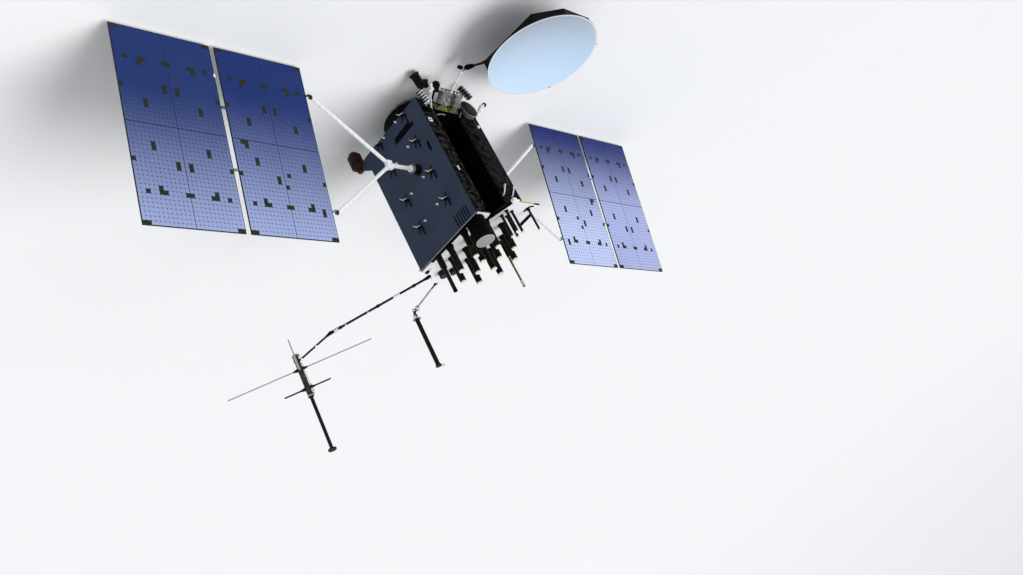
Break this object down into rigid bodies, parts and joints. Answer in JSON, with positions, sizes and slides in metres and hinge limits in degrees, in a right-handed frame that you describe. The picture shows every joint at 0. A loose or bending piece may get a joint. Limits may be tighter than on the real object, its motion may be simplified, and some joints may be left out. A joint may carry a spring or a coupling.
{
  "type": "navigation satellite",
  "caption": "Box-bodied satellite standing on its launch ring, with two fold-out solar wings, a hinged dish, helix antennas on its deck and two hinged antenna booms.",
  "frame": {"origin": "centre of the launch ring's aft face, on the floor it stands on", "axes": "+Z from the launch ring to the antenna deck, +Y towards the left wing, +X to the open bay and the dish"},
  "size_m": [9.3641, 15.182, 6.476],
  "materials": {
    "ring": "satin",
    "engine": "satin",
    "blanket": "crinkled satin",
    "radiator": "satin",
    "fitting": "satin",
    "white": "matt",
    "helix": "satin",
    "gold": "satin",
    "dark_metal": "satin",
    "cells": "gloss",
    "dish": "matt",
    "wrap": "crinkled matt"
  },
  "bodies": {
    "spacecraft_body": {"aft_can": "blanket", "aft_cooler": "fitting", "aft_deck": "blanket", "aft_fittings": "white", "antenna_caps": "white", "antenna_deck": "white", "back_panel": "blanket", "body_core": "blanket", "boom_shoulders": "fitting", "deck_masts": "blanket", "dish_link": "white", "dome_sensor": "blanket", "gold_mast": "gold", "helix_bodies": "helix", "launch_ring": "ring", "left_column": "blanket", "left_drive": "fitting", "left_holddowns": "fitting", "left_radiator": "radiator", "main_engine": "engine", "pod_brackets": "gold", "receiver_can": "blanket", "right_column": "blanket", "right_drive": "fitting", "right_holddowns": "fitting", "right_radiator": "radiator", "side_sensor": "blanket", "telemetry_horn": "blanket", "thruster_pods": "wrap"},
    "left_yoke": {"left_yoke_fittings": "dark_metal", "left_yoke_arms": "white"},
    "left_inner_wing": {"left_inner_panel": "cells"},
    "left_outer_wing": {"left_outer_panel": "cells"},
    "right_yoke": {"right_yoke_fittings": "dark_metal", "right_yoke_arms": "white"},
    "right_inner_wing": {"right_inner_panel": "cells"},
    "right_outer_wing": {"right_outer_panel": "cells"},
    "dish_boom": {"dish_arm": "dark_metal"},
    "dish": {"dish_reflector": "dish", "dish_cover": "blanket", "dish_bracket": "dark_metal"},
    "dipole_boom": {"boom_a_link": "dark_metal"},
    "dipole_head": {"boom_a_forearm": "dark_metal", "head_case": "wrap", "head_dipoles": "white", "head_mast": "blanket"},
    "rod_boom": {"boom_b_arm": "dark_metal"},
    "rod_antenna": {"boom_b_rod": "blanket"}
  },
  "joints": [
    {"name": "left_array_drive", "type": "hinge", "parent": "spacecraft_body", "child": "left_yoke", "pos_m": [0.17, 1.2, 1.958], "axis": [0, 1, 0], "continuous": true},
    {"name": "left_wing_fold", "type": "hinge", "parent": "left_yoke", "child": "left_inner_wing", "pos_m": [0.21359, 3.508, 1.96918], "axis": [0.2485, 0, -0.9686], "range_deg": [0, 180]},
    {"name": "left_outer_fold", "type": "hinge", "parent": "left_inner_wing", "child": "left_outer_wing", "pos_m": [0.14578, 5.576, 1.95179], "axis": [-0.2485, 0, 0.9686], "range_deg": [0, 180]},
    {"name": "right_array_drive", "type": "hinge", "parent": "spacecraft_body", "child": "right_yoke", "pos_m": [0.17, -1.2, 1.958], "axis": [0, 1, 0], "continuous": true},
    {"name": "right_wing_fold", "type": "hinge", "parent": "right_yoke", "child": "right_inner_wing", "pos_m": [0.21359, -3.508, 1.96918], "axis": [-0.2485, 0, 0.9686], "range_deg": [0, 180]},
    {"name": "right_outer_fold", "type": "hinge", "parent": "right_inner_wing", "child": "right_outer_wing", "pos_m": [0.14578, -5.576, 1.95179], "axis": [0.2485, 0, -0.9686], "range_deg": [0, 180]},
    {"name": "dish_boom_hinge", "type": "hinge", "parent": "spacecraft_body", "child": "dish_boom", "pos_m": [1.9, 0, 0.33], "axis": [0, 1, 0], "range_deg": [-80, 0]},
    {"name": "dish_tilt", "type": "hinge", "parent": "dish_boom", "child": "dish", "pos_m": [2.545, 0.09, 0.8], "axis": [0, 1, 0], "range_deg": [-4, 4]},
    {"name": "dipole_boom_shoulder", "type": "hinge", "parent": "spacecraft_body", "child": "dipole_boom", "pos_m": [-1.395, 0.295, 3.676], "axis": [0.7071, 0.7071, 0], "range_deg": [-75, 0]},
    {"name": "dipole_boom_elbow", "type": "hinge", "parent": "dipole_boom", "child": "dipole_head", "pos_m": [-3.12034, 2.02034, 3.986], "axis": [0.7071, 0.7071, 0], "range_deg": [-60, 20]},
    {"name": "rod_boom_shoulder", "type": "hinge", "parent": "spacecraft_body", "child": "rod_boom", "pos_m": [-1.575, -0.12, 3.66], "axis": [0, 1, 0], "range_deg": [-85, 0]},
    {"name": "rod_boom_elbow", "type": "hinge", "parent": "rod_boom", "child": "rod_antenna", "pos_m": [-2.52, -0.12, 3.77], "axis": [0, 1, 0], "range_deg": [-90, 0]}
  ],
  "couplings": [
    {"joint": "left_outer_fold", "follows": "left_wing_fold", "ratio": 1},
    {"joint": "right_outer_fold", "follows": "right_wing_fold", "ratio": 1}
  ]
}
